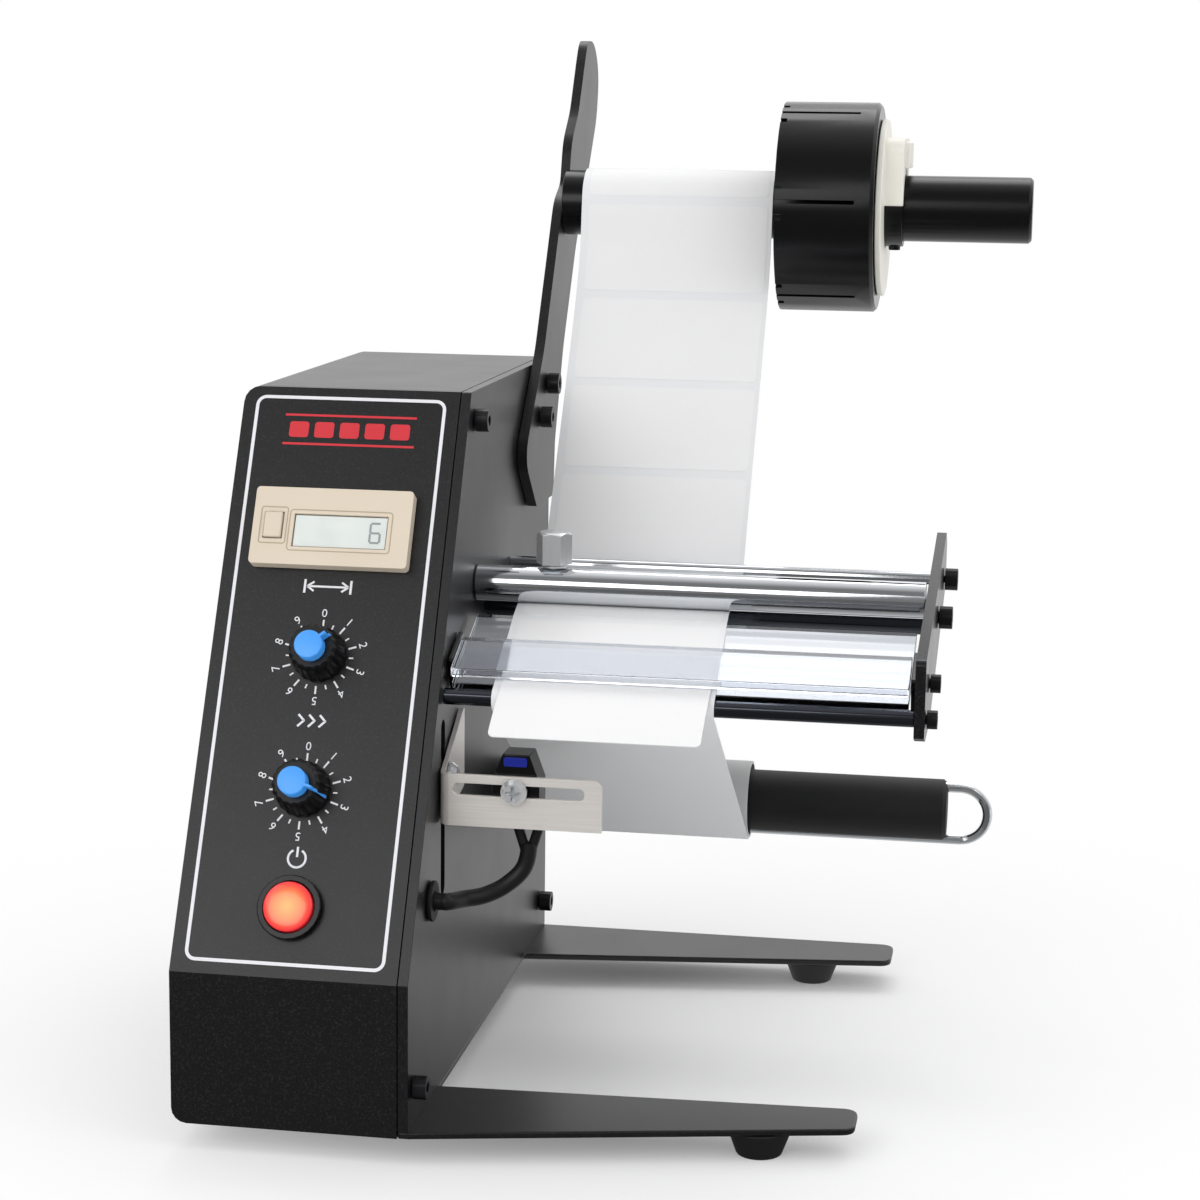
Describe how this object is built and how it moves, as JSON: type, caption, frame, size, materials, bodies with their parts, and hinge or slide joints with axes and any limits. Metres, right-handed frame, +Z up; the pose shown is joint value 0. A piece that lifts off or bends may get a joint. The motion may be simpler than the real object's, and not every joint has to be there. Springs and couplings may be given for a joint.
{
  "type": "label dispenser",
  "caption": "Bench label dispenser with a sloped control housing, roll arm, guide rods, clear peel plates, a driven take-up mandrel and threaded label strip.",
  "frame": {"origin": "centre of the bounding box, on the surface under the feet", "axes": "+Z up, +Y from the control face to the back, +X from the housing to the free end of the roll shaft"},
  "size_m": [0.2322, 0.2796, 0.3209],
  "materials": {
    "black_coat": "fine textured powder coat",
    "black_plastic": "smooth satin",
    "black_rubber": "matte",
    "black_screw": "blackened steel",
    "steel": "satin",
    "chrome": "polished",
    "cream_plastic": "satin",
    "beige_plastic": "satin",
    "display": "grey display behind a clear window",
    "clear_acrylic": "clear polished sheet",
    "blue_plastic": "gloss",
    "orange_lens": "translucent lens",
    "white_paper": "matte",
    "liner_paper": "smooth release paper",
    "board": "solder mask",
    "silver_case": "plain"
  },
  "bodies": {
    "machine": {"base_plate": "black_coat", "side_plate": "black_coat", "housing_cover": "black_coat", "front_panel": "black_coat", "roll_arm": "black_coat", "end_plate": "black_coat", "roll_shaft": "black_plastic", "guide_block_left": "black_plastic", "guide_block_right": "black_plastic", "power_switch_body": "black_plastic", "mains_inlet": "black_plastic", "foot_front_right": "black_rubber", "foot_rear_right": "black_rubber", "foot_front_left": "black_rubber", "foot_rear_left": "black_rubber", "sensor_cable": "black_rubber", "cable_grommet": "black_rubber", "side_plate_screw_top": "black_screw", "side_plate_screw_rear": "black_screw", "side_plate_screw_front": "black_screw", "guide_bar": "black_screw", "peel_bar": "black_screw", "arm_screw_upper": "black_screw", "arm_screw_lower": "black_screw", "end_screw_thin_rod": "black_screw", "end_screw_guide_bar": "black_screw", "end_screw_peel_bar": "black_screw", "end_screw_block": "black_screw", "mandrel_bush": "steel", "chrome_rod": "chrome", "thin_rod": "chrome", "counter_body": "beige_plastic", "counter_window": "display", "lower_guide_plate": "clear_acrylic", "upper_guide_strip": "clear_acrylic", "dispensed_label": "white_paper", "label_liner": "liner_paper", "control_board": "board", "gear_motor": "silver_case", "length_potentiometer": "silver_case", "speed_potentiometer": "silver_case", "power_supply": "silver_case"},
    "hub_collar": {"hub_collar": "black_plastic"},
    "hub": {"roll_hub": "black_plastic"},
    "hub_lock": {"hub_lock_plate": "cream_plastic"},
    "mandrel": {"take_up_mandrel": "black_rubber", "wound_liner": "liner_paper"},
    "clip": {"wire_clip": "chrome"},
    "length_dial": {"length_knob": "black_plastic", "length_knob_cap": "blue_plastic"},
    "speed_dial": {"speed_knob": "black_plastic", "speed_knob_cap": "blue_plastic"},
    "power_button": {"power_button": "orange_lens"},
    "reset_button": {"counter_reset_button": "beige_plastic"},
    "thumbscrew": {"hex_thumbscrew": "steel"},
    "bracket": {"sensor_bracket": "steel", "bracket_screw": "steel"},
    "sensor": {"label_sensor": "black_plastic", "sensor_screw": "steel", "sensor_window": "blue_plastic"}
  },
  "joints": [
    {"name": "hub_slide", "type": "slide", "parent": "machine", "child": "hub_collar", "axis": [1, 0, 0], "range_m": [0, 0.038]},
    {"name": "lock_twist", "type": "hinge", "parent": "hub_collar", "child": "hub_lock", "pos_m": [0.06685, 0.07719, 0.2655], "axis": [1, 0, 0], "range_deg": [0, 60]},
    {"name": "hub_spin", "type": "hinge", "parent": "hub_collar", "child": "hub", "pos_m": [0.04885, 0.07719, 0.2655], "axis": [1, 0, 0], "continuous": true},
    {"name": "mandrel_spin", "type": "hinge", "parent": "machine", "child": "mandrel", "pos_m": [0.02385, 0.00519, 0.076], "axis": [1, 0, 0], "continuous": true},
    {"name": "clip_slide", "type": "slide", "parent": "mandrel", "child": "clip", "axis": [1, 0, 0], "range_m": [0, 0.13]},
    {"name": "length_dial_turn", "type": "hinge", "parent": "machine", "child": "length_dial", "pos_m": [-0.08315, -0.10121, 0.14052], "axis": [0, -0.8919, 0.4523], "range_deg": [-250, 50]},
    {"name": "speed_dial_turn", "type": "hinge", "parent": "machine", "child": "speed_dial", "pos_m": [-0.08315, -0.11948, 0.10449], "axis": [0, -0.8919, 0.4523], "range_deg": [-195, 105]},
    {"name": "power_push", "type": "slide", "parent": "machine", "child": "power_button", "axis": [0, 0.8919, -0.4523], "range_m": [0, 0.002], "stiffness_N_per_m": 300, "springref_m": -0.001},
    {"name": "reset_push", "type": "slide", "parent": "machine", "child": "reset_button", "axis": [0, 0.8919, -0.4523], "range_m": [0, 0.0008], "stiffness_N_per_m": 300, "springref_m": -0.001},
    {"name": "thumbscrew_turn", "type": "hinge", "parent": "machine", "child": "thumbscrew", "pos_m": [-0.02215, -0.04981, 0.165], "axis": [0, 0, 1], "range_deg": [0, 180]},
    {"name": "bracket_lift", "type": "slide", "parent": "machine", "child": "bracket", "axis": [0, 0, 1], "range_m": [-0.02, 0.005]},
    {"name": "sensor_slide", "type": "slide", "parent": "bracket", "child": "sensor", "axis": [1, 0, 0], "range_m": [-0.01, 0.016], "deforming": ["sensor_cable"]}
  ]
}
